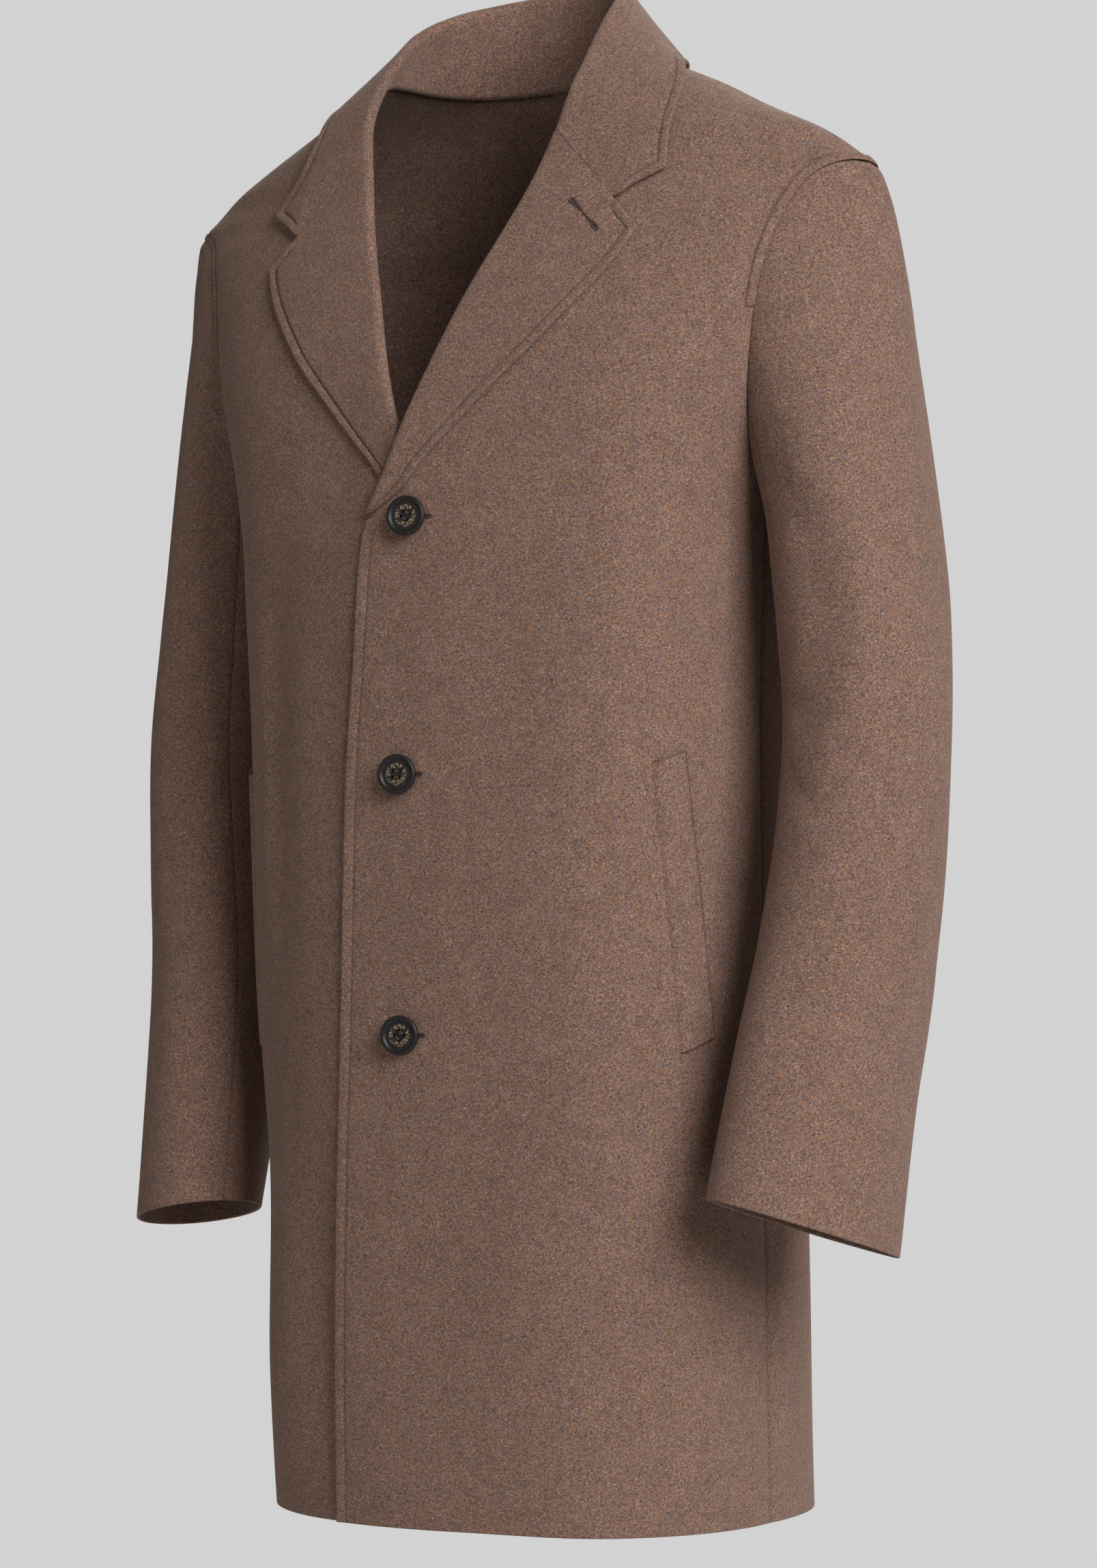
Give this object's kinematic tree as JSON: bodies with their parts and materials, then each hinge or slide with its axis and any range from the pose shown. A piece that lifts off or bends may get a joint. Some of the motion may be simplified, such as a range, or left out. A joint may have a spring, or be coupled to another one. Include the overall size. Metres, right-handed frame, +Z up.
{
  "type": "topcoat",
  "caption": "Hollow single-breasted wool topcoat with notch lapels, set-in two-piece sleeves, slanted welt pockets and a buttoned front, shaped as worn and open at neck, cuffs and hem.",
  "frame": {"origin": "middle of the neck base, between the shoulders that carry the coat", "axes": "+Z up, -Y the way the wearer faces, +X towards the wearer's left"},
  "size_m": [0.608, 0.3374, 1.0113],
  "materials": {
    "wool": "matte brushed wool, heathered taupe brown",
    "button": "satin, near black with horn-like mottling"
  },
  "bodies": {
    "root": {"back": "wool", "front_left": "wool", "front_right": "wool", "lapel_left": "wool", "lapel_right": "wool", "collar": "wool", "sleeve_upper_left": "wool", "sleeve_under_left": "wool", "sleeve_upper_right": "wool", "sleeve_under_right": "wool", "welt_left": "wool", "welt_right": "wool", "button_top": "button", "button_middle": "button", "button_bottom": "button"}
  },
  "joints": []
}
